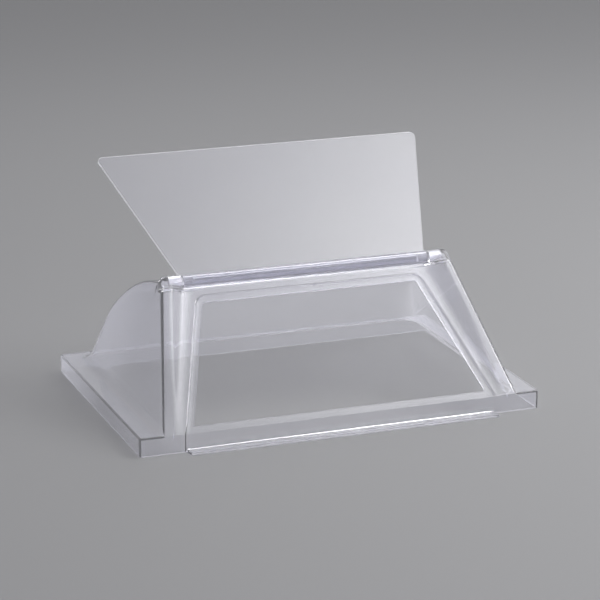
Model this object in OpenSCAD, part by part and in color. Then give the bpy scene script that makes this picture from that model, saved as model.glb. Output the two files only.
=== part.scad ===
// Clear hinged sneeze guard: a moulded cover with a serving opening in its sloping front,
// and a flat door that swings on two pins from the open position down over the opening.
// X runs along the width, Y from front to back, Z up. The origin is at the middle of the
// whole part's box, on the surface that the skirt stands on. The door is drawn open.

/* [Cover base] */
// Width over the side flanges
cover_w = 560; // [470:1:680]
// Depth from the front skirt to the back skirt
cover_d = 381; // [340:1:460]
// Height of the skirt that runs round the base
skirt_h = 25; // [18:1:34]
// Thickness of the moulded wall
wall = 3; // [2.5:0.1:4]
// Width of each side flange, outside the end wall
side_flange = 32; // [20:1:44]
// Width of the flange behind the curved back
back_flange = 16; // [10:1:26]
// Reach of the lip at the foot of the front
lip_reach = 17; // [12:1:24]

/* [Cover body] */
// Distance of the hinge axis behind the front skirt
hinge_back = 144; // [125:1:165]
// Height of the hinge axis
hinge_h = 184; // [160:1:221]
// Inward lean of the two end walls, in degrees
end_lean = 15; // [8:0.5:18]
// Depth of the hinge axis below the top of the curved back
ridge_drop = 1; // [0:0.1:2]
// Fall of the curved back where it starts at the ridge, in degrees
ridge_fall = 3.52; // [1:0.02:8]

/* [Front face] */
// Width of each post's outer face
post_face = 15; // [12:1:20]
// Width of the slope from a post's head down to the door's seat
post_slope = 15; // [12:1:20]
// Depth of the seat below the posts at the foot
seat_drop_foot = 0.5; // [0.3:0.1:1.5]
// Height of the hinge axis above the seat
seat_below_hinge = 1.7; // [1:0.1:3]
// Depth of the sunk panel round the opening
recess_depth = 2; // [1:0.1:2.5]
// Width of the seat on each side of the sunk panel at its top
seat_margin_top = 23.2; // [16:0.1:45]
// Width of the seat on each side of the sunk panel at its foot
seat_margin_foot = 17; // [10:0.5:40]
// Distance from the hinge axis to the top of the sunk panel, down the slope
recess_below_hinge = 23; // [18:1:40]
// Width of the ledge between the sunk panel's edge and the opening
ledge = 8; // [5:0.5:12]
// Height of the sill below the opening, up the slope
sill = 10; // [6:0.5:18]

/* [Door] */
// Angle of the open door above the horizontal
open_angle = 35.5; // [34:0.5:50]
// Thickness of the door
door_t = 3; // [2:0.1:3.6]
// How far the closed door reaches past the foot of the seat
door_reach = 13.9; // [4:0.1:18]
// Distance of the door's side from the end of the tube, at the hinge edge
door_side_hinge = 2; // [2:0.5:20]
// Distance of the door's side from the end wall's foot, at the free edge
door_side_free = 12; // [11:0.5:40]
// Radius of the corners at the free edge
door_corner_r = 8; // [3:1:20]
// Distance from the hinge axis to the door's near face
door_offset = 2.3; // [2.1:0.1:2.8]

/* [Hinge] */
// Width of a post's head at the height of the hinge axis
head_w = 29.4; // [26:0.1:34]
// Outer radius of the hinge tube
tube_r = 8.5; // [8:0.1:10.2]
// Bore radius of the hinge tube
tube_bore_r = 5.5; // [5:0.1:5.8]
// Radius of the pin where it turns
pin_r = 4; // [3:0.1:4.4]
// Length of the pin's thick end, inside the tube
pin_root = 14; // [8:1:30]
// Length of the pin that sticks out of the tube
pin_reach = 19; // [15:0.5:20]
// Radial clearance of the pin in its bush
pin_clearance = 0.05; // [0.03:0.01:0.1]
// Outer radius of the bush
bush_r = 6.5; // [5.8:0.1:6.8]
// Gap between the tube's end and the post's head
side_gap = 1.5; // [1:0.1:2]
// How far the radius of a post's head is over the tube's
head_over = 0.5; // [0.3:0.1:1]
// Radial clearance of the tube in its trough
trough_clearance = 0.8; // [0.5:0.1:1.2]

/* [Hidden] */
$fn = 96;

clear = [0.80, 0.81, 0.87, 0.45];
clear_bright = [0.87, 0.88, 0.93, 0.6];

over = 1;                                    // extra length of a cut past a face
side_share = 0.6;                            // sideways part of a sloping wall's thickness
bead_r = 3;                                  // radius of the stop bead
bead_behind = 1;                             // its place behind the tube, along the open door
bead_gap = 0.35;                             // its gap to the open door
shift_y = -(cover_d - lip_reach) / 2;        // puts the part's box on the origin
foot_half = cover_w / 2 - side_flange;       // half width of the body at the flange
head_half = end_half(hinge_h, 0) - head_w;   // where each post's head begins
tube_len = 2 * (head_half - side_gap);
head_r = tube_r + head_over;
head_sink = 0.4;                             // depth of a head's front below the post's face
trough_r = tube_r + trough_clearance;
// where the door's hinge edge starts, flush with the tube's bore
door_root = sqrt(tube_bore_r * tube_bore_r - door_offset * door_offset) + 0.02;
bore_end = tube_len / 2 + pin_reach + over;  // bottom of the blind bore in a head

// The front planes, each as an angle and its height on the front skirt's face
post_angle = atan2(hinge_h - skirt_h, hinge_back)
    + asin((head_r + head_sink) / norm([hinge_back, hinge_h - skirt_h]));
seat_z = skirt_h - seat_drop_foot / cos(post_angle);
seat_angle = atan2(hinge_h - seat_z, hinge_back)
    - asin(seat_below_hinge / norm([hinge_back, hinge_h - seat_z]));
seat_len = norm([hinge_back, hinge_h - seat_z]) * cos(
    asin(seat_below_hinge / norm([hinge_back, hinge_h - seat_z])));
seat_drop_hinge = head_r + head_sink + seat_below_hinge;

// The curved back: a circle through the foot of the back wall, and through the ridge at its fall
ridge_y = hinge_back;
ridge_z = hinge_h - ridge_drop;
foot_y = cover_d - back_flange;
chord = [foot_y - ridge_y, skirt_h - ridge_z];
back_radius = -chord * chord / (2 * chord * [sin(ridge_fall), cos(ridge_fall)]);
arc_y = ridge_y - back_radius * sin(ridge_fall);
arc_z = ridge_z - back_radius * cos(ridge_fall);

// Sizes measured up the seat's slope from its foot
recess_top = seat_len - recess_below_hinge;
seat_half_foot = foot_half - post_face;
seat_half_top = head_half - 1;
recess_half_foot = seat_half(0) - seat_margin_foot;
recess_half_top = seat_half(recess_top) - seat_margin_top;

// Sizes of the door
door_len = seat_len + door_reach;
door_hinge_w = tube_len - 2 * door_side_hinge;
door_free_w = 2 * (foot_half - door_side_free);

// Half the width between the end walls' faces at a height, at a depth below the face
function end_half(z, inset) = foot_half - (z - skirt_h) * tan(end_lean) - inset / cos(end_lean);

// Where each head ends, just inside the end wall's face
head_end = end_half(hinge_h + head_r, 0.5);

// Half the width of the seat at a distance up its slope
function seat_half(s) = seat_half_foot + (seat_half_top - seat_half_foot) * s / seat_len;

// Half the width of the sunk panel at a distance up the slope
function recess_half(s) =
    recess_half_foot + (recess_half_top - recess_half_foot) * s / recess_top;

// Corners of a four-sided outline on the slope, from one level up to another
function trapezoid(s0, half0, s1, half1, z) =
    [[-half0, s0, z], [half0, s0, z], [half1, s1, z], [-half1, s1, z]];

// Places children in the seat's plane: Y up the slope, Z outward from the face
module on_seat() translate([0, 0, seat_z]) rotate([seat_angle, 0, 0]) children();

// Places children in the open door's plane: Y from the hinge axis to the free edge
module on_door() translate([0, hinge_back, hinge_h]) rotate([open_angle, 0, 0]) children();

// A cylinder along X between two places, round the hinge axis
module hinge_rod(x0, x1, r)
    translate([x0, hinge_back, hinge_h]) rotate([0, 90, 0]) cylinder(h = x1 - x0, r = r);

// A block with a four-sided foot and a four-sided head, each a list of four points
module loft(foot, head)
    polyhedron(
        points = concat(foot, head),
        faces = [
            [0, 1, 2], [0, 2, 3], [6, 5, 4], [7, 6, 4],
            [0, 4, 5], [0, 5, 1], [1, 5, 6], [1, 6, 2],
            [2, 6, 7], [2, 7, 3], [3, 7, 4], [3, 4, 0]
        ]
    );

// The body between the flange and the ridge, with every face moved in by inset
module body_solid(inset, z_low) {
    slope_z = skirt_h - inset / cos(post_angle);
    top_z = hinge_h + 2 * head_r;
    top_y = (top_z - slope_z) / tan(post_angle);
    intersection() {
        // sloping front
        rotate([90, 0, 90])
            linear_extrude(height = cover_w, center = true)
                polygon([
                    [inset, z_low],
                    [inset, slope_z + inset * tan(post_angle)],
                    [top_y, top_z],
                    [cover_d, top_z],
                    [cover_d, z_low]
                ]);
        // leaning end walls
        translate([0, cover_d, 0])
            rotate([90, 0, 0])
                linear_extrude(height = cover_d)
                    polygon([
                        [-end_half(skirt_h, inset), z_low],
                        [end_half(skirt_h, inset), z_low],
                        [end_half(skirt_h, inset), skirt_h],
                        [end_half(top_z, inset), top_z],
                        [-end_half(top_z, inset), top_z],
                        [-end_half(skirt_h, inset), skirt_h]
                    ]);
        // curved back, and upright below the flange
        union() {
            translate([-cover_w / 2, arc_y, arc_z])
                rotate([0, 90, 0])
                    cylinder(h = cover_w, r = back_radius - inset, $fn = 240);
            translate([-cover_w / 2, 0, z_low])
                cube([cover_w, foot_y - inset, skirt_h - z_low]);
        }
    }
}

// Everything above the seat between the posts; inset moves the seat and its sides outward
module seat_block(inset) {
    low = -2 * skirt_h;
    high = seat_len + 3 * head_r;
    rise = 4 * head_r;
    spread = rise * post_slope / seat_drop_hinge;
    side = inset * side_share;
    on_seat()
        loft(
            trapezoid(low, seat_half(low) + side, high, seat_half(high) + side, -inset),
            trapezoid(low, seat_half(low) + side + spread, high,
                seat_half(high) + side + spread, rise - inset)
        );
}

// The sunk panel round the opening, which runs on down the front skirt
module recess_block(inset) {
    side = inset * side_share;
    half_low = recess_half(-skirt_h) + side;
    half_high = recess_half_top + side;
    on_seat()
        loft(
            trapezoid(-skirt_h, half_low, recess_top + side, half_high, -recess_depth - inset),
            trapezoid(-skirt_h, half_low, recess_top + side, half_high, over)
        );
    translate([-recess_half_foot - side, -over, wall - inset])
        cube([2 * (recess_half_foot + side), recess_depth + over + inset, skirt_h]);
}

// The serving opening, right through the front wall
module opening_block() {
    s_low = sill;
    s_high = recess_top - ledge;
    on_seat()
        loft(
            trapezoid(s_low, recess_half(s_low) - ledge, s_high, recess_half(s_high) - ledge,
                -recess_depth - 2 * wall),
            trapezoid(s_low, recess_half(s_low) - ledge, s_high, recess_half(s_high) - ledge,
                over)
        );
}

// The hollow inside the body, which stops short of everything sunk into its walls
module cavity() {
    difference() {
        body_solid(wall, -over);
        seat_block(wall);
        recess_block(wall);
        hinge_rod(-head_half - wall, head_half + wall, trough_r + wall);
        for (side = [0, 1])
            mirror([side, 0, 0]) hinge_rod(head_half - over, foot_half, head_r + over);
    }
}

// The hollow under the flange, inside the skirt
module base_cavity() {
    difference() {
        translate([-cover_w / 2 + wall, wall, -over])
            cube([cover_w - 2 * wall, cover_d - 2 * wall, skirt_h - wall + over]);
        translate([-recess_half_foot - wall, 0, -2 * over])
            cube([2 * (recess_half_foot + wall), recess_depth + wall, skirt_h + over]);
    }
}

// One post's head, a round boss that holds a bush
module head() hinge_rod(head_half, head_end, head_r);

// The posts' tops, which fill the notch between their sloping faces and the heads
module post_crown() {
    reach = norm([hinge_back, hinge_h - skirt_h]);
    depth = head_r + head_sink;
    top = sqrt(reach * reach - depth * depth);
    translate([-head_end, 0, skirt_h])
        rotate([post_angle, 0, 0])
            translate([0, top - 1.5 * depth, -depth])
                cube([2 * head_end, 1.5 * depth, depth - head_sink / 2]);
}

// The bead along the ridge that the open door leans against
module stop_bead() {
    on_door()
        translate([-tube_len / 2, tube_r + bead_behind, -door_offset - door_t - bead_gap - bead_r])
            rotate([0, 90, 0]) cylinder(h = tube_len, r = bead_r);
}

// The moulded cover: skirt, flange, body, posts, heads, lip and bead in one piece
module cover_shell() {
    color(clear)
        translate([0, shift_y, 0])
            difference() {
                union() {
                    difference() {
                        union() {
                            translate([-cover_w / 2, 0, 0]) cube([cover_w, cover_d, skirt_h]);
                            body_solid(0, 0);
                            post_crown();
                        }
                        cavity();
                        base_cavity();
                        seat_block(0);
                        recess_block(0);
                        opening_block();
                        hinge_rod(-head_half, head_half, trough_r);
                    }
                    for (side = [0, 1]) mirror([side, 0, 0]) head();
                    stop_bead();
                    translate([-recess_half_foot, -lip_reach, 0])
                        cube([2 * recess_half_foot, lip_reach + recess_depth + wall, wall]);
                }
                for (side = [0, 1])
                    mirror([side, 0, 0])
                        hinge_rod(head_half - over, bore_end, bush_r);
            }
}

// The flat door, bonded by its hinge edge into the slot in the tube
module door_panel() {
    half_free = door_free_w / 2;
    flare = (door_free_w - door_hinge_w) / 2 / door_len;
    half_root = door_hinge_w / 2 + flare * door_root;
    r = door_corner_r;
    turn = atan(flare);
    // centre of a free corner's arc, r inside both the side and the free edge
    corner_x = half_free - flare * r - r / cos(turn);
    color(clear_bright)
        translate([0, shift_y, 0])
            on_door()
                translate([0, 0, -door_offset - door_t])
                    linear_extrude(height = door_t)
                        union() {
                            polygon([
                                [-half_root, door_root],
                                [half_root, door_root],
                                [corner_x + r * cos(turn), door_len - r - r * sin(turn)],
                                [corner_x, door_len - r],
                                [corner_x, door_len],
                                [-corner_x, door_len],
                                [-corner_x, door_len - r],
                                [-corner_x - r * cos(turn), door_len - r - r * sin(turn)]
                            ]);
                            for (side = [-1, 1])
                                translate([side * corner_x, door_len - r]) circle(r = r);
                        }
}

// The tube along the door's hinge edge, slotted for the door
module hinge_tube() {
    color(clear)
        translate([0, shift_y, 0])
            difference() {
                hinge_rod(-tube_len / 2, tube_len / 2, tube_r);
                hinge_rod(-tube_len / 2 - over, tube_len / 2 + over, tube_bore_r);
                on_door()
                    translate([-tube_len / 2 - over, door_root, -door_offset - door_t])
                        cube([tube_len + 2 * over, tube_r, door_t]);
            }
}

// A stepped pin: its thick root sits in the tube, its thin end turns in the bush
module hinge_pin() {
    color(clear_bright)
        translate([0, shift_y, 0])
            union() {
                hinge_rod(tube_len / 2 - pin_root, tube_len / 2, tube_bore_r);
                hinge_rod(tube_len / 2 - over, tube_len / 2 + pin_reach, pin_r);
            }
}

// A bush pressed into the bore of a post's head
module hinge_bush() {
    color(clear_bright)
        translate([0, shift_y, 0])
            difference() {
                hinge_rod(head_half, bore_end, bush_r);
                hinge_rod(head_half - over, bore_end + over, pin_r + pin_clearance);
            }
}

cover_shell();
door_panel();
hinge_tube();
mirror([1, 0, 0]) hinge_pin();  // hinge_pin_left
hinge_pin();  // hinge_pin_right
mirror([1, 0, 0]) hinge_bush();  // hinge_bush_left
hinge_bush();  // hinge_bush_right
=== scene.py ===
"""Visual model of a clear hinged sneeze guard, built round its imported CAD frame.

The moulded cover is one mesh: a grid of points that follows its folds, set exactly on a
rounded outer surface and a rounded inner one. Lengths are in millimetres in the cover's own
axes (x from the middle, y from the front skirt to the back, z up) until a mesh is made.
"""
import math

import bmesh
import bpy
import numpy as np
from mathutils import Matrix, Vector


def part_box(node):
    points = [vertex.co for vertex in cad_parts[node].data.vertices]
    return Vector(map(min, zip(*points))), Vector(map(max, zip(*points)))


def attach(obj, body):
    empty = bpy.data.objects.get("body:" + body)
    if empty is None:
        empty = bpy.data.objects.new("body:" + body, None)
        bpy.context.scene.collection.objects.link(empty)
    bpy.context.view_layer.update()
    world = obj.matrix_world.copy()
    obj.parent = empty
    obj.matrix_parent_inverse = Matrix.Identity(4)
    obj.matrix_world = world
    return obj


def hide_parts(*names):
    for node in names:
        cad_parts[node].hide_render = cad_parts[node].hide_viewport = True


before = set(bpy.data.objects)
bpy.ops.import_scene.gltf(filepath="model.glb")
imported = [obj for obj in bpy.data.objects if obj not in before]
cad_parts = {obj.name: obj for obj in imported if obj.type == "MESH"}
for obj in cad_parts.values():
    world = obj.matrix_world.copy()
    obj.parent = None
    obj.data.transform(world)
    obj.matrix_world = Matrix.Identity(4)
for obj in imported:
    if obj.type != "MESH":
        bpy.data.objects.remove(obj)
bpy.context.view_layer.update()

# ---------------------------------------------------------------- sizes, in millimetres

MM = 0.001
cover_lo, cover_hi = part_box("cover_shell")
tube_lo, tube_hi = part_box("hinge_tube")
bush_lo, bush_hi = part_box("hinge_bush_right")
pin_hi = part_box("hinge_pin_right")[1]

LIP = 17.0                                   # reach of the lip in front of the skirt
FRONT_Y = cover_lo.y / MM + LIP              # front skirt's face, in the frame
HALF_W = cover_hi.x / MM
DEPTH = cover_hi.y / MM - FRONT_Y
SKIRT = 25.0
WALL = 3.0
FOOT_HALF = HALF_W - 32.0                    # half width of the body at the flange
BACK_FOOT = DEPTH - 16.0                     # foot of the curved back
LEAN = math.radians(15.0)                    # inward lean of the end walls

AXIS_Y = (tube_lo.y + tube_hi.y) / 2 / MM - FRONT_Y
AXIS_Z = (tube_lo.z + tube_hi.z) / 2 / MM
TUBE_R = (tube_hi.z - tube_lo.z) / 2 / MM
TUBE_BORE = 5.5
TUBE_HALF = tube_hi.x / MM
HEAD_HALF = bush_lo.x / MM                   # inner end of each post's head
HEAD_R = TUBE_R + 0.5
BUSH_END = bush_hi.x / MM
BUSH_R = (bush_hi.z - bush_lo.z) / 2 / MM
PIN_R = 4.0
PIN_ROOT = 14.0
TROUGH_R = TUBE_R + 0.8
HEAD_SINK = 0.4

POST_FACE = 15.0
SEAT_SLOPE = 15.0                            # width of the slope from a head to the seat
SEAT_DROP = 0.5                              # depth of the seat at its foot
SEAT_BELOW = 1.7                             # depth of the seat below the hinge axis
RECESS = 2.0
RECESS_BELOW = 23.0
MARGIN_TOP = 23.2                            # seat beside the sunk panel, at its top
MARGIN_FOOT = 17.0                           # and at its foot
LEDGE = 8.0
SILL = 10.0

RIDGE_DROP = 1.0
RIDGE_FALL = math.radians(3.52)              # fall of the curved back at the ridge
BEAD_R = 3.0
BEAD_BEHIND = 1.0                            # bead's place behind the tube
BEAD_GAP = 0.35                              # its gap to the open door
OPEN = math.radians(35.5)                    # the open door's angle above the horizontal
DOOR_T = 3.0
DOOR_OFFSET = 2.3
DOOR_REACH = 13.9                            # how far the closed door passes the seat's foot
DOOR_SIDE_HINGE = 2.0                        # its sides' place at the tube's ends
DOOR_SIDE_FREE = 12.0                        # and at its free edge
DOOR_CORNER = 8.0
DOOR_EDGE = 0.35                             # rounding of its edges
FIT = 0.05                                   # room between pieces that are joined or turn
PAST = 5.0                                   # how far a cutting tool runs past a face

# rounding radii of the moulding
RIM = 4.0                                    # end wall to curved back, high up
BACK_CORNER = 22.0                           # the same edge near the flange
FLANGE_FILLET = 9.0                          # body to flange
EDGE = 1.2                                   # top of the skirt
PLAN_CORNER = 4.0                            # the skirt's four corners
SEAT_FILLET = 5.0                            # seat to the slope beside it
CREST = 1.5                                  # that slope to the post's face
RIDGE_EDGE = 2.0                             # post's face to curved back
HEAD_FILLET = 1.2                            # head to body
HEAD_EDGE = 0.8                              # end of a head
HEAD_SEAT = 1.0                              # head to seat
TROUGH_EDGE = 0.6
PANEL_EDGE = 0.8
PANEL_FILLET = 1.0
PANEL_CORNER = 10.0
OPENING_CORNER = 4.0
BEAD_EDGE = 1.0
BEAD_FILLET = 1.5
LIP_EDGE = 0.8
LIP_FILLET = 1.5

# how the rounding changes along the moulding
FILLET_MIN = 0.3                             # flange's fillet at the front
FILLET_GROWTH = 0.42                         # and its growth per millimetre behind it
CORNER_RUN = 80.0                            # run behind the hinge to the full back corner
CORNER_TOP = 120.0                           # height where the back corner starts to grow
CORNER_FALL = 90.0                           # fall from there to the full back corner

# ---------------------------------------------------------------- planes and arcs of the cover

reach = math.hypot(AXIS_Y, AXIS_Z - SKIRT)
POST_ANGLE = math.atan2(AXIS_Z - SKIRT, AXIS_Y) + math.asin((HEAD_R + HEAD_SINK) / reach)
POST_LEN = math.sqrt(reach ** 2 - (HEAD_R + HEAD_SINK) ** 2)
SEAT_Z = SKIRT - SEAT_DROP / math.cos(POST_ANGLE)
seat_reach = math.hypot(AXIS_Y, AXIS_Z - SEAT_Z)
SEAT_ANGLE = math.atan2(AXIS_Z - SEAT_Z, AXIS_Y) - math.asin(SEAT_BELOW / seat_reach)
SEAT_LEN = math.sqrt(seat_reach ** 2 - SEAT_BELOW ** 2)
SEAT_RISE = SEAT_SLOPE / (HEAD_R + HEAD_SINK + SEAT_BELOW)
SEAT_HALF_FOOT = FOOT_HALF - POST_FACE
SEAT_HALF_TOP = HEAD_HALF - 1.0
RECESS_TOP = SEAT_LEN - RECESS_BELOW
OPENING_TOP = RECESS_TOP - LEDGE

chord = (BACK_FOOT - AXIS_Y, SKIRT - AXIS_Z + RIDGE_DROP)
chord_rise = chord[0] * math.sin(RIDGE_FALL) + chord[1] * math.cos(RIDGE_FALL)
BACK_R = -(chord[0] ** 2 + chord[1] ** 2) / (2 * chord_rise)
ARC_Y = AXIS_Y - BACK_R * math.sin(RIDGE_FALL)
ARC_Z = AXIS_Z - RIDGE_DROP - BACK_R * math.cos(RIDGE_FALL)

bead_reach = TUBE_R + BEAD_BEHIND
bead_down = DOOR_OFFSET + DOOR_T + BEAD_GAP + BEAD_R
BEAD_Y = AXIS_Y + bead_reach * math.cos(OPEN) + bead_down * math.sin(OPEN)
BEAD_Z = AXIS_Z + bead_reach * math.sin(OPEN) - bead_down * math.cos(OPEN)


def seat_half(s):
    """Half width of the seat at a distance s up its slope."""
    return SEAT_HALF_FOOT + (SEAT_HALF_TOP - SEAT_HALF_FOOT) * s / SEAT_LEN


RECESS_HALF_FOOT = seat_half(0) - MARGIN_FOOT
RECESS_HALF_TOP = seat_half(RECESS_TOP) - MARGIN_TOP


def recess_half(s):
    """Half width of the sunk panel at a distance s up its slope."""
    return RECESS_HALF_FOOT + (RECESS_HALF_TOP - RECESS_HALF_FOOT) * s / RECESS_TOP


def end_half(z, inset):
    """Half width between the leaning end walls at a height."""
    return FOOT_HALF - (z - SKIRT) * math.tan(LEAN) - inset / math.cos(LEAN)


def on_slope(s, h, angle, z0):
    """The (y, z) of a point s up a sloping plane and h outside it."""
    return np.array([s * math.cos(angle) - h * math.sin(angle),
                     z0 + s * math.sin(angle) + h * math.cos(angle)])


def seat_coords(y, z):
    """How far up the seat's slope a point is, and how far outside it."""
    s = y * math.cos(SEAT_ANGLE) + (z - SEAT_Z) * math.sin(SEAT_ANGLE)
    h = -y * math.sin(SEAT_ANGLE) + (z - SEAT_Z) * math.cos(SEAT_ANGLE)
    return s, h


# ---------------------------------------------------------------- rounded surfaces


def smooth_max(a, b, r):
    """The larger of two distances, with the edge where they meet rounded to radius r."""
    outside = np.hypot(np.maximum(a + r, 0.0), np.maximum(b + r, 0.0))
    return np.minimum(np.maximum(a, b), -r) + outside


def smooth_min(a, b, r):
    """The smaller of two distances, with the corner where they meet filled to radius r."""
    return -smooth_max(-a, -b, r)


def smooth_step(t):
    """0 below 0 and 1 above 1, with a smooth rise between."""
    t = np.clip(t, 0.0, 1.0)
    return t * t * (3.0 - 2.0 * t)


def axis_distance(p):
    """Distance of points from the hinge axis."""
    return np.hypot(p[:, 1] - AXIS_Y, p[:, 2] - AXIS_Z)


def moulding(p):
    """Distance outside the cover's outer surface, without its trough, bead and lip."""
    x, y, z = np.abs(p[:, 0]), p[:, 1], p[:, 2]
    post = -math.sin(POST_ANGLE) * y + math.cos(POST_ANGLE) * (z - SKIRT)
    along = math.cos(POST_ANGLE) * y + math.sin(POST_ANGLE) * (z - SKIRT)
    back = np.hypot(y - ARC_Y, z - ARC_Z) - BACK_R
    end = (x - FOOT_HALF) * math.cos(LEAN) + (z - SKIRT) * math.sin(LEAN)
    crown = np.maximum(np.maximum(post, along - POST_LEN), y - AXIS_Y)
    top = np.minimum(smooth_max(post, back, RIDGE_EDGE), crown)
    top = smooth_min(top, axis_distance(p) - HEAD_R, HEAD_FILLET)
    low_back = smooth_step((y - AXIS_Y) / CORNER_RUN) * smooth_step((CORNER_TOP - z) / CORNER_FALL)
    body = smooth_max(top, end, RIM + (BACK_CORNER - RIM) * low_back)
    fillet = np.clip(FILLET_GROWTH * y, FILLET_MIN, FLANGE_FILLET)
    solid = smooth_min(body, z - SKIRT, fillet)
    plan = smooth_max(x - HALF_W, np.abs(y - DEPTH / 2) - DEPTH / 2, PLAN_CORNER)
    solid = smooth_max(solid, plan, EDGE)
    # the seat between the posts, which leaves their heads whole
    s, h = seat_coords(y, z)
    side = (x - seat_half(s) - h * SEAT_RISE) / math.hypot(1.0, SEAT_RISE)
    head = smooth_max(axis_distance(p) - HEAD_R, HEAD_HALF - x, HEAD_EDGE)
    seat = smooth_max(smooth_max(-h, side, SEAT_FILLET), -head, HEAD_SEAT)
    return smooth_max(solid, -seat, CREST)


def sunk_panel(p, solid):
    """Cuts the sunk panel and its run down the skirt out of a solid."""
    x, y, z = np.abs(p[:, 0]), p[:, 1], p[:, 2]
    s, h = seat_coords(y, z)
    outline = smooth_max(x - recess_half(s), s - RECESS_TOP, PANEL_CORNER)
    solid = smooth_max(solid, -smooth_max(-h - RECESS, outline, PANEL_FILLET), PANEL_EDGE)
    skirt_panel = smooth_max(y - RECESS, x - RECESS_HALF_FOOT, PANEL_EDGE)
    return smooth_max(solid, -skirt_panel, PANEL_EDGE)


def outer_field(p):
    """Distance outside the cover's whole outer surface."""
    x, y, z = np.abs(p[:, 0]), p[:, 1], p[:, 2]
    trough = smooth_max(axis_distance(p) - TROUGH_R, x - HEAD_HALF, TROUGH_EDGE)
    solid = smooth_max(moulding(p), -trough, PANEL_EDGE)
    solid = sunk_panel(p, solid)
    bead = smooth_max(np.hypot(y - BEAD_Y, z - BEAD_Z) - BEAD_R, x - TUBE_HALF, BEAD_EDGE)
    solid = smooth_min(solid, bead, BEAD_FILLET)
    lip = smooth_max(x - RECESS_HALF_FOOT, -y - LIP, PLAN_CORNER)
    lip = np.maximum(smooth_max(lip, z - WALL, LIP_EDGE), y - RECESS - WALL)
    return smooth_min(solid, lip, LIP_FILLET)


def inner_field(p):
    """Distance outside the cover's inner surface, one wall in from the outer one."""
    solid = sunk_panel(p, moulding(p)) + WALL
    return np.maximum(solid, TROUGH_R + WALL - axis_distance(p))


def settle(points, field, steps=14):
    """Moves points straight onto the surface where field is zero."""
    probe = 0.02                             # half the step that a slope is measured over
    least = 0.2                              # keeps the moves short where the field is flat
    p = points.reshape(-1, 3).copy()
    for _ in range(steps):
        value = field(p)
        slope = np.empty_like(p)
        for k in range(3):
            d = np.zeros(3)
            d[k] = probe
            slope[:, k] = (field(p + d) - field(p - d)) / (2 * probe)
        size = np.maximum((slope ** 2).sum(1), least)
        p -= slope * (value / size)[:, None]
    return p.reshape(points.shape)


# ---------------------------------------------------------------- grid of the moulded cover

POST_STOP = 3.5                              # from a post's last line to its head
HEAD_LAST_TURN = math.radians(6.0)           # where the lines leave a head
HEAD_LEAVE = 0.6                             # and how far behind it they meet the back
BEAD_SHARE = 0.85                            # share of the ridge's lines that cross the bead
POST_SPREAD = 10.0                           # how far a post's edge line widens behind it


def spread(length, start, middle, end):
    """Places along a run from 0 to 1: close to its ends at the given distances, even between."""
    room = 0.4 * length
    first = [d * min(1.0, room / max(start)) for d in start] if start else []
    last = [d * min(1.0, room / max(end)) for d in end] if end else []
    low = first[-1] if first else 0.0
    high = length - (last[-1] if last else 0.0)
    inside = [low + (high - low) * k / (middle + 1) for k in range(1, middle + 1)]
    places = [0.0] + first + inside + [length - d for d in reversed(last)] + [length]
    return np.array(places) / max(length, 1e-9)


def circle_start(r, depth, angle):
    """Angle round the axis where a plane at that depth below the axis runs into a circle."""
    run = math.sqrt(r * r - depth * depth)
    y = -run * math.cos(angle) + depth * math.sin(angle)
    z = -run * math.sin(angle) - depth * math.cos(angle)
    return math.atan2(z, y) % math.tau, run


def circle_end(r, back_r):
    """Angle round the axis where a circle runs into the curved back."""
    dy, dz = ARC_Y - AXIS_Y, ARC_Z - AXIS_Z
    d = math.hypot(dy, dz)
    turn = math.acos((r * r + d * d - back_r * back_r) / (2 * r * d))
    return math.atan2(dz, dy) + turn


def round_axis(r, angle):
    """The (y, z) of a point round the hinge axis."""
    return np.array([AXIS_Y + r * math.cos(angle), AXIS_Z + r * math.sin(angle)])


def on_back(inset, y=None, z=None):
    """A point of the curved back at a y or at a z."""
    r = BACK_R - inset
    if y is not None:
        return np.array([y, ARC_Z + math.sqrt(r * r - (y - ARC_Y) ** 2)])
    return np.array([ARC_Y + math.sqrt(r * r - (z - ARC_Z) ** 2), z])


class Row:
    """One line across the cover: its (y, z) on the panel, the seat, the posts and the base.

    s is its distance up the seat's slope. bulge is how far it bows round a head, from 0 to 1.
    crest is where its post starts, if that doesn't follow from the slopes.
    """

    def __init__(self, panel, seat, post, base, s, kind, bulge=0.0, crest=None):
        self.panel, self.seat, self.post, self.base = panel, seat, post, base
        self.s, self.kind, self.bulge, self.crest = s, kind, bulge, crest


def fold(depth, angle):
    """How far up a slope its fold with the upright skirt lies, at a depth below both faces."""
    return depth * (1 - math.sin(angle)) / math.cos(angle)


def lip_rows():
    """Round the lip, whose lines all meet on the skirt's bottom beside the sunk panel."""
    corner = np.zeros(2)
    places = [(-LIP, 0.0), (-LIP, 1.6), (-LIP, WALL), (-LIP + 1.0, WALL), (-LIP + 3.0, WALL),
              (-10.0, WALL), (-4.0, WALL), (0.4, WALL)]
    return [Row(np.array(place), corner, corner, corner, 0.0, "lip") for place in places]


def skirt_rows(inset):
    """Up the front skirt."""
    low = 0.0 if inset else WALL
    panel_top = on_slope(fold(RECESS + inset, SEAT_ANGLE), -RECESS - inset, SEAT_ANGLE, SEAT_Z)[1]
    seat_top = on_slope(fold(inset, SEAT_ANGLE), -inset, SEAT_ANGLE, SEAT_Z)[1]
    post_top = on_slope(fold(inset, POST_ANGLE), -inset, POST_ANGLE, SKIRT)[1]
    out = []
    for f in spread(SKIRT - inset, [2.0], 3, [0.5, 1.2, 2.4])[:-1]:
        panel = np.array([RECESS + inset, low + f * (panel_top - low)])
        seat, post, base = [np.array([inset, f * z]) for z in (seat_top, post_top, SKIRT - inset)]
        out.append(Row(panel, seat, post, base, 0.0, "skirt"))
    return out


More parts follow.
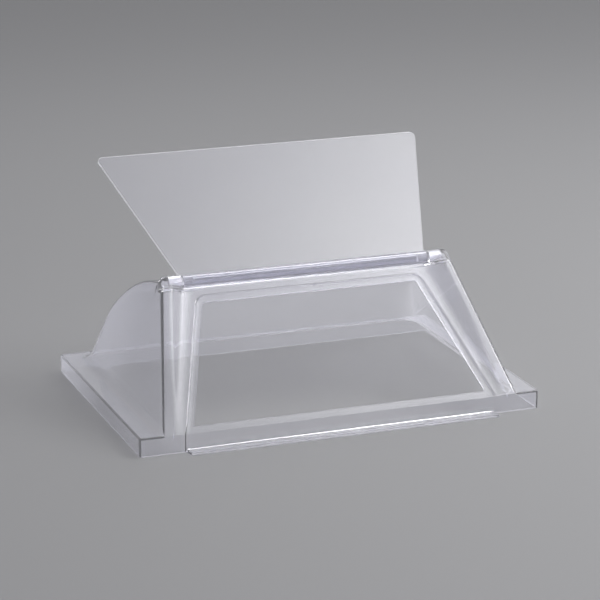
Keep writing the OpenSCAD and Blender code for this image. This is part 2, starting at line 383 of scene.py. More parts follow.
def slope_rows(inset, seat_end, post_end):
    """Up the slope to the hinge's trough."""
    fold_panel = fold(RECESS + inset, SEAT_ANGLE)
    fold_seat = fold(inset, SEAT_ANGLE)
    fold_post = fold(inset, POST_ANGLE)
    panel_end = RECESS_TOP + inset
    corner = [1.0, 2.5, 4.0, 7.0]
    sill = spread(SILL, [0.5, 1.2, 2.5], 1, [3.0])
    beside = spread(OPENING_TOP - SILL, corner, 22, corner)
    ledge = spread(LEDGE, [2.5], 1, [0.5, 1.2])
    above = spread(14.0, [0.5, 1.2, 2.5], 1, [0.5, 1.2])
    out = []

    def add(s, depth, kind):
        t = fold_post + (post_end - fold_post) * s / seat_end
        out.append(Row(
            on_slope(max(s, fold_panel if depth else s), -depth - inset, SEAT_ANGLE, SEAT_Z),
            on_slope(max(s, fold_seat), -inset, SEAT_ANGLE, SEAT_Z),
            on_slope(t, -inset, POST_ANGLE, SKIRT),
            None, s, kind))

    for start, end, places, kind in ((0.0, SILL, sill, "slope"),
                                     (SILL, OPENING_TOP, beside, "open"),
                                     (OPENING_TOP, panel_end, ledge, "slope")):
        for f in places[:-1]:
            add(start + (end - start) * f, RECESS, kind)
    # the foot of the sunk panel's top edge, then the seat above it
    add(panel_end, RECESS, "slope")
    for f in above:
        add(panel_end + (seat_end - panel_end) * f, 0.0, "slope")
    return out


def rows(inset):
    """All the lines across, from the bottom of the front skirt over the top to the back."""
    seat_turn, run = circle_start(TROUGH_R + inset, SEAT_BELOW + inset, SEAT_ANGLE)
    seat_end = SEAT_LEN - run
    if inset:
        post_turn, run = circle_start(TROUGH_R + inset, -(HEAD_R + HEAD_SINK - inset), POST_ANGLE)
        post_end = POST_LEN - run
    else:
        post_turn = POST_ANGLE + math.pi / 2
        post_end = POST_LEN - POST_STOP
    out = [] if inset else lip_rows()
    out += skirt_rows(inset)
    out += slope_rows(inset, seat_end, post_end)

    # round the trough and the heads
    trough_end = circle_end(TROUGH_R + inset, BACK_R - inset) % math.tau
    leave_y = AXIS_Y + HEAD_R + HEAD_LEAVE
    for q in np.linspace(0.0, 1.0, 13)[(1 if inset else 0):]:
        seat = round_axis(TROUGH_R + inset, seat_turn + (trough_end - seat_turn) * q)
        if inset:
            post = round_axis(TROUGH_R + inset, post_turn + (trough_end - post_turn) * q)
        elif q < 1.0:
            post = round_axis(HEAD_R, post_turn + (HEAD_LAST_TURN - post_turn) * q)
        else:
            post = on_back(0.0, y=leave_y)
        out.append(Row(seat, seat, post, None, seat_end, "hinge", bulge=1.0 - q, crest=HEAD_HALF))

    # over the bead to the curved back
    ridge_start = max(round_axis(TROUGH_R + inset, trough_end)[0], leave_y)
    ridge_end = BEAD_Y + BEAD_R + 2.0
    for q in np.linspace(0.0, 1.0, 10)[1:]:
        back = on_back(inset, y=ridge_start + (ridge_end - ridge_start) * q)
        turn = math.pi * (1.0 - min(q / BEAD_SHARE, 1.0))
        bead = np.array([BEAD_Y + BEAD_R * math.cos(turn), BEAD_Z + BEAD_R * math.sin(turn)])
        top = bead if q < 0.9 and not inset else back
        out.append(Row(top, top, back, None, seat_end, "bead", crest=HEAD_HALF + POST_SPREAD * q))

    # down the curved back, along the flange behind it, and down the back skirt
    back_crest = HEAD_HALF + POST_SPREAD
    start = on_back(inset, y=ridge_end)
    foot = on_back(inset, z=SKIRT - inset)
    r = BACK_R - inset
    turn_0 = math.atan2(start[1] - ARC_Z, start[0] - ARC_Y)
    turn_1 = math.atan2(foot[1] - ARC_Z, foot[0] - ARC_Y)
    for f in spread(r * (turn_0 - turn_1), [3.0], 34, [1.0, 2.5, 4.5, 7.0, 10.0])[1:]:
        turn = turn_0 + (turn_1 - turn_0) * f
        point = np.array([ARC_Y + r * math.cos(turn), ARC_Z + r * math.sin(turn)])
        out.append(Row(point, point, point, None, seat_end, "back", crest=back_crest))
    for f in spread(DEPTH - BACK_FOOT, [1.0, 2.5, 4.5, 7.0], 1, [0.5, 1.2, 2.5])[1:]:
        point = np.array([foot[0] + (DEPTH - inset - foot[0]) * f, SKIRT - inset])
        out.append(Row(point, point, point, None, seat_end, "flange", crest=back_crest))
    for f in spread(SKIRT - inset, [0.5, 1.2, 2.4], 3, [2.0])[1:]:
        point = np.array([DEPTH - inset, (SKIRT - inset) * (1.0 - f)])
        out.append(Row(point, point, point, point, seat_end, "back skirt", crest=back_crest))
    return out


def across(row, inset):
    """The ten points where a line across the cover turns, from its middle to the side."""
    above_step = 1.5                         # past the panel's side, where there is no panel
    above_ledge = 3.0                        # and how far before it the column beside it lies
    least_rim = 3.0                          # least width of a post's face
    ridge_edge = 0.8                         # from a head's end to the seat's column behind it
    s = row.s
    in_line = row.kind in ("lip", "skirt", "slope", "open")
    step = inset if in_line else above_step
    panel_half = recess_half(s)
    base = row.base
    if base is None:
        base = np.array([row.post[0], SKIRT - inset])
    crest = row.crest
    if crest is None:
        s_post, h_post = seat_coords(*row.post)
        crest = seat_half(s_post) + max(h_post, 0.0) * SEAT_RISE
        crest = min(crest + inset * 0.3, end_half(row.post[1], inset) - least_rim)
    if in_line:
        seat_edge = seat_half(s)
    else:
        seat_edge = HEAD_HALF if row.kind == "hinge" else HEAD_HALF - ridge_edge
    rim = end_half(max(row.post[1], SKIRT - inset), inset)
    foot = end_half(SKIRT - inset, inset)
    side = HALF_W - inset
    low = row.base[1] if row.base is not None else 0.0
    keys = [
        (0.0, *row.panel),
        (panel_half - LEDGE, *row.panel),
        (panel_half + step - (0.0 if in_line else above_ledge), *row.panel),
        (panel_half + step, *row.seat),
        (seat_edge + inset * 0.5, *row.seat),
        (crest, *row.post),
        (rim, *row.post),
        (foot, *base),
        (side, *base),
        (side, base[0], low),
    ]
    return [np.array(k) for k in keys]


# how each stretch between those points is divided: distances from its start, the number of
# even places in the middle, and distances from its end
COLUMNS = [
    ([], 9, [1.0, 2.5, 4.0, 7.0]),                 # middle to the opening's side
    ([2.5], 1, [0.5, 1.2]),                        # ledge
    ([0.5], 0, [0.5]),                             # side of the sunk panel
    ([0.5, 1.2, 3.0], 1, [1.2, 2.8, 5.0]),         # seat
    ([1.2, 2.8, 4.6], 1, [0.5, 1.1, 2.0]),         # slope up to the post
    ([0.5, 1.2, 2.5], 1, [1.0, 2.2, 3.6, 5.5]),    # post's face
    ([1.0, 2.2, 3.6, 5.5], 8, [2.0, 4.0, 6.5, 9.0]),   # end wall
    ([2.0, 4.0, 6.5, 9.0], 2, [0.5, 1.2, 2.5]),    # side flange
    ([0.5, 1.2, 2.4], 3, [2.0]),                   # side skirt
]
HEAD_COLUMN = 4                              # the stretch that bows round a head's end


def grid(inset):
    """Points of one surface as an array of lines, with each line's kind."""
    lines = []
    listed = rows(inset)
    turns = None
    for row in listed:
        keys = across(row, inset)
        line = []
        for j, (start, middle, end) in enumerate(COLUMNS):
            a, b = keys[j], keys[j + 1]
            places = spread(float(np.linalg.norm(b - a)), start, middle, end)
            at_head = row.kind == "hinge" and j == HEAD_COLUMN
            if at_head:
                places = np.linspace(0.0, 1.0, len(places))
            run = a + (b - a) * places[:, None]
            if at_head and not inset:
                # bows out round the head's end, from the trough to the post's face, by the
                # turns of the first of these lines
                if turns is None:
                    turns = (math.atan2(a[2] - AXIS_Z, a[1] - AXIS_Y) % math.tau,
                             math.atan2(b[2] - AXIS_Z, b[1] - AXIS_Y))
                first, last = round_axis(HEAD_R, turns[0]), round_axis(HEAD_R, turns[1])
                for k, f in enumerate(places):
                    rim = round_axis(HEAD_R, turns[0] + (turns[1] - turns[0]) * f)
                    run[k, 1:] += row.bulge * (rim - first - (last - first) * f)
            line.append(run if j == 0 else run[1:])
        lines.append(np.vstack(line))
    return np.array(lines), [row.kind for row in listed]


def round_corner(points, edge, corner_s, r, way):
    """Bends grid lines round one corner of an outline on the seat's slope.

    edge gives the outline's side at a place up the slope, corner_s is its top or bottom, and
    way is 1 for an upper corner and -1 for a lower one.
    """
    fade = 1.5                               # radii outside the corner over which lines straighten
    y, z = points[..., 1], points[..., 2]
    s, h = seat_coords(y, z)
    side = edge(s)
    # a and b are 0 at the arc's centre and 1 on the outline
    a = (points[..., 0] - side + r) / r
    b = way * (s - corner_s) / r + 1.0
    near = (a > 0) & (b > 0)
    m = np.maximum(a, b)
    share = np.where(near, m / np.maximum(np.hypot(a, b), 1e-9), 1.0)
    keep = smooth_step((m - 1.0) / fade)
    share = np.where(near, share + (1.0 - share) * keep, 1.0)
    s_new = corner_s + way * (b * share - 1.0) * r
    out = points.copy()
    out[..., 0] = side - r + a * share * r
    out[..., 1] = s_new * math.cos(SEAT_ANGLE) - h * math.sin(SEAT_ANGLE)
    out[..., 2] = SEAT_Z + s_new * math.sin(SEAT_ANGLE) + h * math.cos(SEAT_ANGLE)
    return out


def spread_corner(points, field, inset):
    """Spreads out again the lines that meet at the foot of a rounded back corner."""
    reach, fade = BACK_CORNER + 12.0, 8.0
    edge_gap, edge_fade = 3.0, 5.0
    corner = np.array([FOOT_HALF - inset, BACK_FOOT - inset, SKIRT - inset])
    share = smooth_step((reach - np.linalg.norm(points - corner, axis=-1)) / fade)
    for edge, place in ((HALF_W, np.abs(points[..., 0])), (DEPTH, points[..., 1])):
        share *= smooth_step((edge - inset - edge_gap - place) / edge_fade)
    share[0] = share[-1] = 0.0
    share[:, 0] = share[:, -1] = 0.0
    share = share[..., None]
    for _ in range(8):
        for _ in range(6):
            around = (np.roll(points, 1, 0) + np.roll(points, -1, 0)
                      + np.roll(points, 1, 1) + np.roll(points, -1, 1)) / 4
            points = points + share * (around - points)
        points = settle(points, field, 3)
    return points


def shell_surface(inset):
    """Points of the cover's outer surface, or of its inner one, and the kind of each line."""
    points, kinds = grid(inset)
    slope = [k for k, kind in enumerate(kinds) if kind in ("slope", "open")]
    beside_seat = range(1 + sum(len(c[0]) + c[1] + len(c[2]) + 1 for c in COLUMNS[:HEAD_COLUMN]))
    patch = points[np.ix_(slope, beside_seat)]

    def opening_side(s):
        return recess_half(s) - LEDGE

    def panel_side(s):
        return recess_half(s) + inset

    patch = round_corner(patch, opening_side, OPENING_TOP, OPENING_CORNER, 1)
    patch = round_corner(patch, opening_side, SILL, OPENING_CORNER, -1)
    patch = round_corner(patch, panel_side, RECESS_TOP + inset, PANEL_CORNER + inset, 1)
    points[np.ix_(slope, beside_seat)] = patch
    field = inner_field if inset else outer_field
    points = spread_corner(settle(points, field), field, inset)
    points[:, 0, 0] = 0.0
    return points, kinds


def grid_faces(kinds, columns, opening_columns, side_column):
    """Quads of the grid, leaving out the opening and the two folded corners of the skirt."""
    faces = []
    for i in range(len(kinds) - 1):
        for j in range(columns - 1):
            is_open = kinds[i] == "open" and j < opening_columns
            in_skirt = kinds[i] in ("lip", "skirt") or kinds[i + 1] == "back skirt"
            if not is_open and not (in_skirt and j >= side_column):
                faces.append((i, j))
    return faces


def make_mesh(name, verts, faces):
    """A new object from points in the frame, in metres, and faces."""
    mesh = bpy.data.meshes.new(name)
    mesh.from_pydata([tuple(v) for v in verts], [], faces)
    mesh.update()
    obj = bpy.data.objects.new(name, mesh)
    bpy.context.scene.collection.objects.link(obj)
    finish_shading(obj)
    return obj


def finish_shading(obj):
    """Smooth shading, except over edges sharper than 35 degrees."""
    for poly in obj.data.polygons:
        poly.use_smooth = True
    obj.data.set_sharp_from_angle(angle=math.radians(35.0))


def in_frame(points):
    """Millimetres in the cover's axes to metres in the frame."""
    return (np.asarray(points) + np.array([0.0, FRONT_Y, 0.0])) * MM


def opening_edge(outer, inner, path):
    """Points of the opening's slightly rounded edge, as loops between the two surfaces."""
    ring = np.array([outer[p] for p in path])
    inner_ring = np.array([inner[p] for p in path])
    tangent = np.gradient(ring, axis=0)
    tangent /= np.linalg.norm(tangent, axis=1)[:, None]
    tangent[0] = (1.0, 0.0, 0.0)
    tangent[-1] = (-1.0, 0.0, 0.0)
    slope_normal = np.array([0.0, -math.sin(SEAT_ANGLE), math.cos(SEAT_ANGLE)])
    toward = np.cross(slope_normal, tangent)
    # each loop's share of the way in, and how far it stands out into the opening
    return [ring + (inner_ring - ring) * f + toward * bulge
            for f, bulge in ((0.06, 0.22), (0.14, 0.35), (0.86, 0.35), (0.94, 0.22))]


def cover_mesh():
    """The moulded cover as one mesh: two surfaces, joined at the skirt's foot and the opening."""
    outer, kinds = shell_surface(0.0)
    inner, inner_kinds = shell_surface(WALL)
    lips = kinds.count("lip")
    skip = kinds.count("hinge") - inner_kinds.count("hinge")
    # the inner grid has no lip and starts its hinge lines one later
    first_hinge = inner_kinds.index("hinge")
    before = np.repeat(inner[:1], lips, 0)
    between = np.repeat(inner[first_hinge - 1:first_hinge], skip, 0)
    inner = np.concatenate([before, inner[:first_hinge], between, inner[first_hinge:]])
    count, columns = outer.shape[:2]
    edges = np.cumsum([1 + len(c[0]) + c[1] + len(c[2]) for c in COLUMNS])
    opening_columns, side_column = int(edges[0]), int(edges[7])

    # the skirt's foot is flat
    outer[0, :, 2] = 0.0
    outer[-1, :, 2] = 0.0
    outer[:lips, -1, 2] = 0.0
    inner[:lips + 1, :, 2] = 0.0
    inner[-1, :, 2] = 0.0

    verts = np.vstack([outer.reshape(-1, 3), inner.reshape(-1, 3)])

    def out_id(i, j):
        return i * columns + j

    def in_id(i, j):
        return (count + i) * columns + j

    faces = []
    for i, j in grid_faces(kinds, columns, opening_columns, side_column):
        faces.append((out_id(i, j), out_id(i, j + 1), out_id(i + 1, j + 1), out_id(i + 1, j)))
        if i >= lips:
            faces.append((in_id(i, j), in_id(i + 1, j), in_id(i + 1, j + 1), in_id(i, j + 1)))

    # the bottom of the skirt, all the way round
    def bridge(path):
        for a, b in zip(path, path[1:]):
            faces.append((out_id(*a), in_id(*a), in_id(*b), out_id(*b)))

    skirt_top = lips + kinds.count("skirt")
    back_edge = kinds.index("back skirt") - 1
    bridge([(0, j) for j in range(side_column + 1)])
    bridge([(i, columns - 1) for i in range(skirt_top, back_edge + 1)])
    bridge([(count - 1, j) for j in range(side_column, -1, -1)])

    # the edge of the opening
    first_open = kinds.index("open")
    last_open = first_open + kinds.count("open")
    path = [(first_open, j) for j in range(opening_columns + 1)]
    path += [(i, opening_columns) for i in range(first_open + 1, last_open)]
    path += [(last_open, j) for j in range(opening_columns, -1, -1)]
    loops = [[out_id(*p) for p in path]]
    for loop in opening_edge(outer, inner, path):
        loops.append(list(range(len(verts), len(verts) + len(path))))
        verts = np.vstack([verts, loop])
    loops.append([in_id(*p) for p in path])
    for a, b in zip(loops, loops[1:]):
        for k in range(len(path) - 1):
            faces.append((a[k], b[k], b[k + 1], a[k + 1]))

    # the other half
    total = len(verts)
    other_half = verts * np.array([-1.0, 1.0, 1.0])
    faces += [tuple(total + v for v in reversed(f)) for f in faces]
    return make_mesh("moulded_cover", in_frame(np.vstack([verts, other_half])), faces)


def clean(obj, distance=0.00003):
    """Merges points that the folds brought together and drops faces with no area."""
    bm = bmesh.new()
    bm.from_mesh(obj.data)
    bmesh.ops.remove_doubles(bm, verts=bm.verts, dist=distance)
    bmesh.ops.dissolve_degenerate(bm, edges=bm.edges, dist=distance)
    bmesh.ops.recalc_face_normals(bm, faces=bm.faces)
    bm.to_mesh(obj.data)
    bm.free()
    finish_shading(obj)


def lathe(name, profile, start_x, steps=96):
    """A solid turned round the hinge axis: profile is a list of (x, radius).

    A profile that starts on the axis ends on it too. Any other profile is closed by itself.
    """
    turns = [math.tau * k / steps for k in range(steps)]
    verts, faces = [], []
    for turn in turns:
        for x, r in profile:
            y, z = round_axis(r, turn)
            verts.append((start_x + x, y, z))
    n = len(profile)
    solid = profile[0][1] == 0.0
    for k in range(steps):
        for j in range(n - 1 if solid else n):
            a, b = k * n + j, k * n + (j + 1) % n
            c, d = ((k + 1) % steps) * n + (j + 1) % n, ((k + 1) % steps) * n + j
            faces.append((a, d, c, b))
    obj = make_mesh(name, in_frame(verts), faces)
    clean(obj)
    return obj


def door_point(x, s, h):
    """A point of the open door: s from the hinge axis towards its free edge, h off its face."""
    y = AXIS_Y + s * math.cos(OPEN) - h * math.sin(OPEN)
    return x, y, AXIS_Z + s * math.sin(OPEN) + h * math.cos(OPEN)


def bevel(obj, width, segments):
    """Rounds an object's sharp edges for good."""
    mod = obj.modifiers.new("edges", "BEVEL")
    mod.width = width * MM
    mod.segments = segments
    mod.limit_method = "ANGLE"
    mod.angle_limit = math.radians(40.0)
    apply_modifiers(obj)


def apply_modifiers(obj):
    """Replaces an object's mesh by what its modifiers make of it."""
    graph = bpy.context.evaluated_depsgraph_get()
    mesh = bpy.data.meshes.new_from_object(obj.evaluated_get(graph))
    obj.modifiers.clear()
    obj.data = mesh
    finish_shading(obj)


def cut(obj, tool):
    """Takes the tool's solid out of an object and removes the tool."""
    mod = obj.modifiers.new("cut", "BOOLEAN")
    mod.operation = "DIFFERENCE"
    mod.solver = "EXACT"
    mod.object = tool
    apply_modifiers(obj)
    bpy.data.objects.remove(tool)


def door_mesh():
    """A flat sheet with rounded free corners and polished, slightly rounded edges, whose pale edge
    material paints their highlight.
    """
    near, far = TUBE_BORE - FIT, SEAT_LEN + DOOR_REACH
    half_root, half_free = TUBE_HALF - DOOR_SIDE_HINGE, FOOT_HALF - DOOR_SIDE_FREE
    flare = (half_free - half_root) / far
    turn = math.atan(flare)
    r = DOOR_CORNER
    corner_x = half_free - flare * r - r / math.cos(turn)
    right = [(half_root + flare * near, near)]
    for k in range(13):
        a = -turn + (math.pi / 2 + turn) * k / 12
        right.append((corner_x + r * math.cos(a), far - r + r * math.sin(a)))
    outline = right + [(-x, s) for x, s in reversed(right)]
    low, high = -DOOR_OFFSET - DOOR_T, -DOOR_OFFSET
    n = len(outline)
    verts = [door_point(x, s, low) for x, s in outline] + [door_point(x, s, high) for x, s in outline]
    faces = [tuple(range(n))[::-1], tuple(range(n, 2 * n))]
    faces += [(k, (k + 1) % n, n + (k + 1) % n, n + k) for k in range(n)]
    obj = make_mesh("serving_door", in_frame(verts), faces)
    bevel(obj, DOOR_EDGE, 3)
    # the edges take the second material, whose pale haze is painted highlight
    largest = max(poly.area for poly in obj.data.polygons)
    for poly in obj.data.polygons:
        is_face = poly.area > 0.5 * largest
        poly.use_smooth = not is_face
        poly.material_index = 0 if is_face else 1
    return obj


def slot_tool():
    """The door's slot along the tube."""
    gap = 0.03
    verts = [door_point(x, s, h) for x in (-TUBE_HALF - PAST, TUBE_HALF + PAST)
             for s in (TUBE_BORE - 2 * FIT, TUBE_R + PAST)
             for h in (-DOOR_OFFSET - DOOR_T - gap, -DOOR_OFFSET + gap)]
    faces = [(0, 1, 3, 2), (4, 6, 7, 5), (0, 4, 5, 1), (2, 3, 7, 6), (0, 2, 6, 4), (1, 5, 7, 3)]
    return make_mesh("slot_tool", in_frame(verts), faces)


def tube_mesh():
    """The tube along the door's hinge edge, with rounded ends and a slot for the door."""
    c = 0.5
    length = 2 * TUBE_HALF
    profile = [(0, TUBE_BORE + c), (0, TUBE_R - c), (0.15 * c, TUBE_R - 0.3 * c), (c, TUBE_R),
               (length - c, TUBE_R), (length - 0.15 * c, TUBE_R - 0.3 * c),
               (length, TUBE_R - c), (length, TUBE_BORE + c),
               (length - c, TUBE_BORE), (c, TUBE_BORE)]
    tube = lathe("door_tube", profile, -TUBE_HALF)
    cut(tube, slot_tool())
    return tube


def mirrored(obj, name):
    """A copy of an object on the cover's other side."""
    mesh = obj.data.copy()
    mesh.transform(((-1, 0, 0, 0), (0, 1, 0, 0), (0, 0, 1, 0), (0, 0, 0, 1)))
    mesh.flip_normals()
    copy = bpy.data.objects.new(name, mesh)
    bpy.context.scene.collection.objects.link(copy)
    finish_shading(copy)
    return copy


def pin_mesh():
    """A turned pin: a thick root with a rounded shoulder, and a thin end with a domed tip."""
    reach = pin_hi.x / MM - (TUBE_HALF - PIN_ROOT)
    root_r = TUBE_BORE - 0.04                # a close fit in the tube
    chamfer = 0.6
    profile = [(0, 0.0), (0, root_r - chamfer), (chamfer, root_r), (PIN_ROOT - 0.5, root_r),
               (PIN_ROOT - 0.15, root_r - 0.15), (PIN_ROOT, root_r - 0.5), (PIN_ROOT, PIN_R + 0.4),
               (PIN_ROOT + 0.4, PIN_R), (reach - 1.6, PIN_R), (reach - 0.9, PIN_R - 0.3),
               (reach - 0.35, PIN_R - 0.9), (reach, PIN_R - 2.0), (reach, 0.0)]
    return lathe("right_pin", profile, TUBE_HALF - PIN_ROOT)


def bush_mesh():
    """A plain bush with chamfered ends."""
    press_gap = 0.03                         # keeps its faces off those of its bore
    length = BUSH_END - HEAD_HALF - press_gap
    bore, c = PIN_R + FIT, 0.4
    outer = BUSH_R - press_gap
    profile = [(0, bore + c), (0, outer - c), (c, outer), (length - c, outer),
               (length, outer - c), (length, bore + c), (length - c, bore), (c, bore)]
    return lathe("right_bush", profile, HEAD_HALF)


def bore_tool():
    """The bore for a bush in the right post's head."""
    depth = BUSH_END - HEAD_HALF + PAST
    profile = [(0, 0.0), (0, BUSH_R), (depth, BUSH_R), (depth, 0.0)]
    return lathe("bore_tool", profile, HEAD_HALF - PAST)


# ---------------------------------------------------------------- materials


def ranged(nodes, links, value, low_in, high_in, low, high):
    """A value taken from one range to another, and kept inside it."""
    node = nodes.new("ShaderNodeMapRange")
    node.inputs["From Min"].default_value = low_in
    node.inputs["From Max"].default_value = high_in
    node.inputs["To Min"].default_value = low
    node.inputs["To Max"].default_value = high
    links.new(value, node.inputs["Value"])
    return node.outputs["Result"]


def mixed(nodes, links, share, first, second):
    """Two shaders mixed by a socket: 0 for the first and 1 for the second."""
    node = nodes.new("ShaderNodeMixShader")
    links.new(share, node.inputs["Fac"])
    links.new(first, node.inputs[1])
    links.new(second, node.inputs[2])
    return node.outputs["Shader"]


def clear_plastic(name, tint, haze, roughness, waviness, streaks, glow, painted_back_light=0.0, ior=1.49):
    """Clear plastic with slight moulding waves, a faint haze and faint wiping marks.

    haze is the share that scatters like a matt solid, glow the share that lets light through
    scattered, and painted_back_light what is added to that towards the back of the cover, as
    painted light that makes the back paler. waviness is the depth of the waves in millimetres.
    """
    mat = bpy.data.materials.new(name)
    mat.use_nodes = True
    nodes, links = mat.node_tree.nodes, mat.node_tree.links
    shader = nodes["Principled BSDF"]
    shader.inputs["IOR"].default_value = ior
    shader.inputs["Transmission Weight"].default_value = 1.0 - haze

    place = nodes.new("ShaderNodeTexCoord")

    def noise(scale, detail, stretch=(1.0, 1.0, 1.0)):
        mapping = nodes.new("ShaderNodeMapping")
        mapping.inputs["Scale"].default_value = stretch
        links.new(place.outputs["Object"], mapping.inputs["Vector"])
        tex = nodes.new("ShaderNodeTexNoise")
        tex.inputs["Scale"].default_value = scale
        tex.inputs["Detail"].default_value = detail
        links.new(mapping.outputs["Vector"], tex.inputs["Vector"])
        return tex.outputs["Fac"]

    # colour: a faint tint, a little uneven with the thickness of the moulding
    mix = nodes.new("ShaderNodeMix")
    mix.data_type = "RGBA"
    mix.inputs["A"].default_value = (*tint, 1.0)
    mix.inputs["B"].default_value = (*[min(1.0, c + 0.025) for c in tint], 1.0)
    links.new(ranged(nodes, links, noise(5.0, 2.0), 0.35, 0.65, 0.0, 1.0), mix.inputs["Factor"])
    links.new(mix.outputs["Result"], shader.inputs["Base Color"])

    # gloss: polished, with faint wiping marks along one direction
    wiping = noise(30.0, 4.0, (0.25, 6.0, 6.0))
    add = nodes.new("ShaderNodeMath")
    add.operation = "ADD"
    links.new(ranged(nodes, links, wiping, 0.55, 0.75, 0.0, streaks), add.inputs[0])
    links.new(ranged(nodes, links, noise(14.0, 3.0), 0.3, 0.7, roughness * 0.7, roughness * 1.3),
              add.inputs[1])
    links.new(add.outputs["Value"], shader.inputs["Roughness"])

    # surface: slow waves from moulding or rolling
    waves = nodes.new("ShaderNodeBump")
    waves.inputs["Strength"].default_value = 1.0
    waves.inputs["Distance"].default_value = waviness * MM
    links.new(noise(16.0, 1.0), waves.inputs["Height"])
    links.new(waves.outputs["Normal"], shader.inputs["Normal"])

    # glow: a thin veil of scattered light, with more of it towards the back as painted light
    veil = nodes.new("ShaderNodeBsdfTranslucent")
    veil.inputs["Color"].default_value = (0.92, 0.92, 0.97, 1.0)
    sides = nodes.new("ShaderNodeSeparateXYZ")
    links.new(place.outputs["Object"], sides.inputs["Vector"])
    # the extra share towards the back is painted light: it makes the back of the cover paler
    share = ranged(nodes, links, sides.outputs["Y"], 0.0, 0.16, glow, glow + painted_back_light)
    body = mixed(nodes, links, share, shader.outputs["BSDF"], veil.outputs["BSDF"])

    # lamps shine through, with a thin shadow
    clear = nodes.new("ShaderNodeBsdfTransparent")
    clear.inputs["Color"].default_value = (0.985, 0.985, 0.99, 1.0)
    path = nodes.new("ShaderNodeLightPath")
    surface = mixed(nodes, links, path.outputs["Is Shadow Ray"], body, clear.outputs["BSDF"])
    links.new(surface, nodes["Material Output"].inputs["Surface"])
    return mat


def plain_material(name, colour, roughness):
    """One even colour, for the floor."""
    mat = bpy.data.materials.new(name)
    mat.use_nodes = True
    shader = mat.node_tree.nodes["Principled BSDF"]
    shader.inputs["Base Color"].default_value = (*colour, 1.0)
    shader.inputs["Roughness"].default_value = roughness
    return mat


# ---------------------------------------------------------------- build

# the cover's extra scatter towards the back is painted light
cover_plastic = clear_plastic("clear_moulding", (0.94, 0.94, 0.98), haze=0.025, roughness=0.05,
                              waviness=0.003, streaks=0.02, glow=0.015, painted_back_light=0.09)
door_plastic = clear_plastic("clear_sheet", (0.94, 0.94, 0.985), haze=0.05, roughness=0.04,
                             waviness=0.003, streaks=0.02, glow=0.03)
# the door's edges get a pale, hazy plastic: painted highlight for the bright lines along them
edge_plastic_painted_highlight = clear_plastic("edge_painted_highlight", (0.97, 0.97, 0.99), haze=0.45, roughness=0.20,
                             waviness=0.003, streaks=0.05, glow=0.25)
# the tube's grey colour, darker than the other pieces, is painted shade that tones down the light it
# catches
tube_plastic_painted_shade = clear_plastic("clear_tube", (0.73, 0.73, 0.785), haze=0.07, roughness=0.14,
                             waviness=0.001, streaks=0.0, glow=0.0, ior=1.3)
pin_plastic = clear_plastic("clear_pin", (0.96, 0.96, 0.985), haze=0.10, roughness=0.06,
                            waviness=0.010, streaks=0.02, glow=0.05)
bush_plastic = clear_plastic("clear_bush", (0.94, 0.94, 0.975), haze=0.10, roughness=0.12,
                             waviness=0.010, streaks=0.02, glow=0.05)

cover = cover_mesh()
clean(cover)
tool = bore_tool()
cut(cover, mirrored(tool, "left_bore_tool"))
cut(cover, tool)

right_pin = pin_mesh()
right_bush = bush_mesh()
door = door_mesh()
PIECES = [
    (cover, "cover", "cover_shell", "clear_shell", cover_plastic),
    (door, "door", "door_panel", "clear_door", door_plastic),
    (tube_mesh(), "door", "hinge_tube", "clear_tube", tube_plastic_painted_shade),
    (right_pin, "door", "hinge_pin_right", "clear_pin", pin_plastic),
    (mirrored(right_pin, "left_pin"), "door", "hinge_pin_left", "clear_pin", pin_plastic),
    (right_bush, "cover", "hinge_bush_right", "clear_bush", bush_plastic),
    (mirrored(right_bush, "left_bush"), "cover", "hinge_bush_left", "clear_bush", bush_plastic),
]
for piece, body, node, slot, material in PIECES:
    piece.data.materials.append(material)
    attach(piece, body)
    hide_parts(node)
door.data.materials.append(edge_plastic_painted_highlight)

# ---------------------------------------------------------------- stage, light and camera

FLOOR_GAP = 0.0004                           # keeps the floor clear of the skirt's foot
bpy.ops.mesh.primitive_plane_add(size=24.0, location=(0.0, 0.0, -FLOOR_GAP))
floor = bpy.context.object
floor.name = "floor"
floor.data.materials.append(plain_material("grey_floor", (0.285, 0.285, 0.29), 0.7))


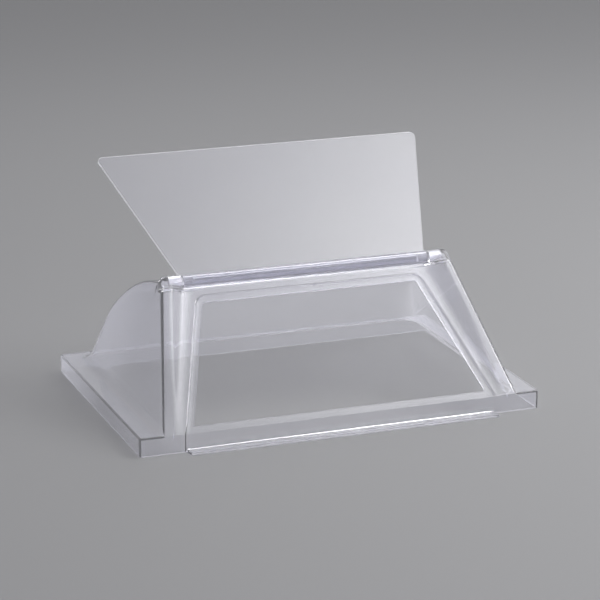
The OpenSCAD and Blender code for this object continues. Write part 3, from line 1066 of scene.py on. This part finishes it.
def softbox(name, place, target, width, height, radiance, edge):
    """A soft rectangular lamp whose light fades over a share of its size at each edge."""
    light = bpy.data.lights.new(name, "AREA")
    light.shape = "RECTANGLE"
    light.size, light.size_y = width, height
    light.energy = radiance * math.pi * width * height
    light.use_nodes = True
    nodes, links = light.node_tree.nodes, light.node_tree.links
    where = nodes.new("ShaderNodeNewGeometry")
    split = nodes.new("ShaderNodeSeparateXYZ")
    links.new(where.outputs["Parametric"], split.inputs["Vector"])
    strength = nodes.new("ShaderNodeMath")
    strength.operation = "MULTIPLY"
    for k, axis in enumerate(("X", "Y")):
        # the distance from the nearer edge, from 0 to a half
        inward = nodes.new("ShaderNodeMath")
        inward.operation = "PINGPONG"
        inward.inputs[1].default_value = 0.5
        links.new(split.outputs[axis], inward.inputs[0])
        fade = nodes.new("ShaderNodeMapRange")
        fade.interpolation_type = "SMOOTHSTEP"
        fade.inputs["From Max"].default_value = edge
        links.new(inward.outputs["Value"], fade.inputs["Value"])
        links.new(fade.outputs["Result"], strength.inputs[k])
    links.new(strength.outputs["Value"], nodes["Emission"].inputs["Strength"])
    lamp = bpy.data.objects.new(name, light)
    bpy.context.scene.collection.objects.link(lamp)
    lamp.location = place
    point_at(lamp, target)


def point_at(obj, target):
    """Turns a lamp or camera to face a point."""
    obj.rotation_euler = (Vector(target) - obj.location).to_track_quat("-Z", "Y").to_euler()


softbox("top_light", (1.65, -0.4, 2.2), (1.65, -0.4, 0.0),
        width=3.0, height=3.2, radiance=4.8, edge=0.45)
softbox("front_light", (1.4, -2.8, 1.6), (0.0, -0.3, 0.1),
        width=1.8, height=1.6, radiance=6.0, edge=0.4)
softbox("right_light", (2.3, 0.35, 0.65), (-0.2, -0.1, 0.1),
        width=0.45, height=0.5, radiance=9.0, edge=0.3)
softbox("left_light", (-1.5, -0.2, 1.6), (0.1, 0.0, 0.1),
        width=0.4, height=0.8, radiance=2.5, edge=0.4)
softbox("back_light", (0.4, 1.7, 1.8), (0.0, 0.1, 0.1),
        width=1.8, height=0.8, radiance=4.0, edge=0.4)


def surroundings():
    """A pale studio, brighter towards the right."""
    world = bpy.data.worlds.new("studio")
    world.use_nodes = True
    nodes, links = world.node_tree.nodes, world.node_tree.links
    direction = nodes.new("ShaderNodeTexCoord")
    sides = nodes.new("ShaderNodeSeparateXYZ")
    links.new(direction.outputs["Generated"], sides.inputs["Vector"])
    background = nodes["Background"]
    background.inputs["Color"].default_value = (0.97, 0.97, 1.0, 1.0)
    links.new(ranged(nodes, links, sides.outputs["X"], 0.15, 0.7, 0.35, 1.2),
              background.inputs["Strength"])
    return world


scene = bpy.context.scene
scene.world = surroundings()

lens = bpy.data.cameras.new("camera")
lens.sensor_width = 36.0
lens.lens = 150.1
camera = bpy.data.objects.new("camera", lens)
scene.collection.objects.link(camera)
camera.location = (-1.1416, -3.0562, 1.0902)
point_at(camera, (0.0085, 0.008, 0.127))
scene.camera = camera
scene.view_settings.view_transform = "Standard"
# a ray crosses up to a dozen faces of clear plastic
scene.cycles.max_bounces = 32
scene.cycles.transmission_bounces = 32
scene.cycles.transparent_max_bounces = 32
